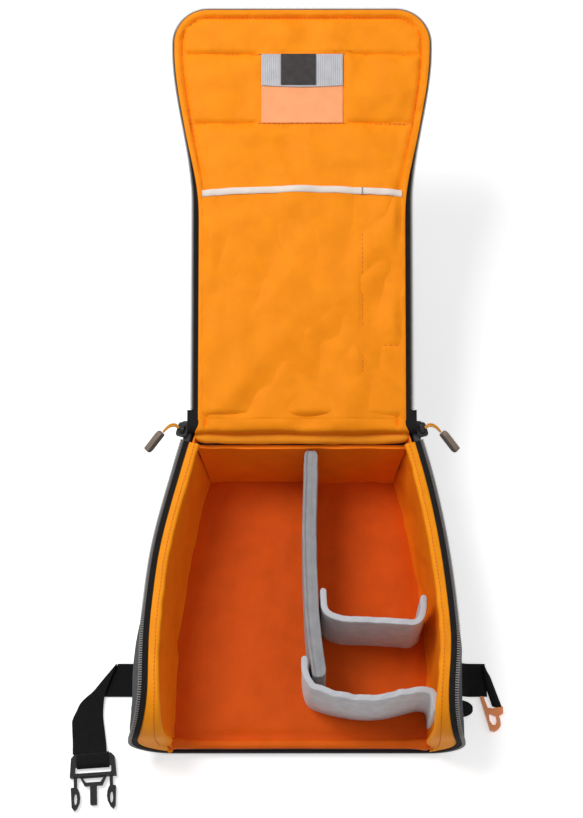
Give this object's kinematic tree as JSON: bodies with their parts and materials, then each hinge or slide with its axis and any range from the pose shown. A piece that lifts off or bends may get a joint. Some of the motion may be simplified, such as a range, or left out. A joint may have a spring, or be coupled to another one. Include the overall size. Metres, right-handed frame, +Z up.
{
  "type": "drone carrying case",
  "caption": "Soft padded carrying case lying open, with a hinged front door and end flap, zipper, pockets, removable dividers and waist straps.",
  "frame": {"origin": "middle of the compartment's length and width, on the flat face of the back pads that the case lies on", "axes": "+X to the right, +Y from the open end to the hinge and the carrying handle, +Z up out of the compartment"},
  "size_m": [0.3219, 0.5626, 0.2099],
  "materials": {
    "shell_cloth": "woven grey polyester, matt",
    "orange_lining": "smooth orange nylon, soft sheen",
    "deep_orange_lining": "orange nylon lining in shade",
    "foam": "closed-cell foam, sewn in",
    "zipper_tape": "black woven zipper tape with coil teeth",
    "webbing": "black ribbed webbing",
    "pad_cloth": "black spacer mesh",
    "divider_light": "light grey brushed nylon over foam",
    "divider_dark": "mid-grey brushed nylon over foam",
    "binding": "beige elastic binding",
    "mesh_band": "grey elastic band",
    "card_film": "translucent film over orange cloth",
    "black_plastic": "moulded acetal",
    "slider_metal": "black enamelled zinc",
    "orange_plastic": "moulded orange plastic",
    "pull_cord": "braided orange cord",
    "pull_grip": "moulded soft grip"
  },
  "bodies": {
    "case": {"side_wall_left_shell": "shell_cloth", "side_wall_right_shell": "shell_cloth", "back_panel_shell": "shell_cloth", "upper_section": "shell_cloth", "zip_garage_left": "shell_cloth", "zip_garage_right": "shell_cloth", "side_wall_left_foam": "foam", "side_wall_right_foam": "foam", "back_panel_foam": "foam", "far_wall_foam": "foam", "side_wall_left_lining": "deep_orange_lining", "side_wall_right_lining": "deep_orange_lining", "back_panel_lining": "deep_orange_lining", "far_wall_lining": "deep_orange_lining", "rim_strip_left": "orange_lining", "rim_strip_right": "orange_lining", "near_lip": "orange_lining", "hinge_roll": "orange_lining", "zip_tape_body_left": "zipper_tape", "zip_tape_body_right": "zipper_tape", "zip_tape_body_near": "zipper_tape", "hinge_band": "zipper_tape", "back_pad_lower": "pad_cloth", "back_pad_middle": "pad_cloth", "back_pad_upper": "pad_cloth", "upper_pad": "pad_cloth", "haul_handle": "webbing", "strap_tab_left": "webbing", "strap_tab_right": "webbing"},
    "door": {"door_shell": "shell_cloth", "door_foam": "foam", "door_lining": "orange_lining", "zip_tape_door_left": "zipper_tape", "zip_tape_door_right": "zipper_tape", "door_pocket": "orange_lining", "door_pocket_binding": "binding"},
    "flap": {"flap_shell": "shell_cloth", "flap_foam": "foam", "flap_lining": "orange_lining", "zip_tape_flap": "zipper_tape", "card_window": "card_film", "card_band": "mesh_band", "card_label": "zipper_tape"},
    "slider_left": {"slider_left": "slider_metal"},
    "slider_right": {"slider_right": "slider_metal"},
    "pull_left": {"pull_cord_left": "pull_cord", "pull_grip_left": "pull_grip"},
    "pull_right": {"pull_cord_right": "pull_cord", "pull_grip_right": "pull_grip"},
    "divider_long": {"divider_long": "divider_dark"},
    "divider_cross_upper": {"divider_cross_upper": "divider_light"},
    "divider_cross_lower": {"divider_cross_lower": "divider_light"},
    "strap_left": {"strap_left": "webbing"},
    "buckle": {"buckle_male": "black_plastic"},
    "strap_right": {"strap_right": "webbing"},
    "hook": {"strap_hook": "orange_plastic"}
  },
  "joints": [
    {"name": "door_hinge", "type": "hinge", "parent": "case", "child": "door", "pos_m": [0, 0.112, 0.0989], "axis": [-1, 0, 0], "range_deg": [-160, 20]},
    {"name": "flap_fold", "type": "hinge", "parent": "door", "child": "flap", "pos_m": [0, 0.32118, 0.17823], "axis": [-1, 0, 0], "range_deg": [-90, 11.25]},
    {"name": "slider_left_slide", "type": "slide", "parent": "case", "child": "slider_left", "axis": [-0.2593, -0.9658, 0], "range_m": [0, 0.025]},
    {"name": "slider_right_slide", "type": "slide", "parent": "case", "child": "slider_right", "axis": [0.2593, -0.9658, 0], "range_m": [0, 0.025]},
    {"name": "pull_left_swing", "type": "hinge", "parent": "slider_left", "child": "pull_left", "pos_m": [-0.0889, 0.1097, 0.0976], "axis": [0.2593, 0.9658, 0], "range_deg": [0, 100]},
    {"name": "pull_right_swing", "type": "hinge", "parent": "slider_right", "child": "pull_right", "pos_m": [0.0889, 0.1097, 0.0976], "axis": [0.2593, -0.9658, 0], "range_deg": [0, 100]},
    {"name": "divider_long_lift", "type": "slide", "parent": "case", "child": "divider_long", "axis": [0, 0, 1], "range_m": [0, 0.09]},
    {"name": "divider_cross_upper_lift", "type": "slide", "parent": "case", "child": "divider_cross_upper", "axis": [0, 0, 1], "range_m": [0, 0.09]},
    {"name": "divider_cross_lower_lift", "type": "slide", "parent": "case", "child": "divider_cross_lower", "axis": [0, 0, 1], "range_m": [0, 0.09]},
    {"name": "strap_left_lift", "type": "hinge", "parent": "case", "child": "strap_left", "pos_m": [-0.1151, -0.056, 0.0078], "axis": [0, 1, 0], "range_deg": [0, 35]},
    {"name": "buckle_swing", "type": "hinge", "parent": "strap_left", "child": "buckle", "pos_m": [-0.1545, -0.1117, 0.0023], "axis": [-0.9976, -0.0698, 0], "range_deg": [0, 65]},
    {"name": "strap_right_lift", "type": "hinge", "parent": "case", "child": "strap_right", "pos_m": [0.1151, -0.056, 0.0078], "axis": [0, -1, 0], "range_deg": [0, 35]},
    {"name": "hook_swing", "type": "hinge", "parent": "strap_right", "child": "hook", "pos_m": [0.1436, -0.0686, 0.0044], "axis": [-1, 0, 0], "range_deg": [0, 50]}
  ],
  "couplings": [
    {"joint": "flap_fold", "follows": "door_hinge", "ratio": 0.5625}
  ]
}
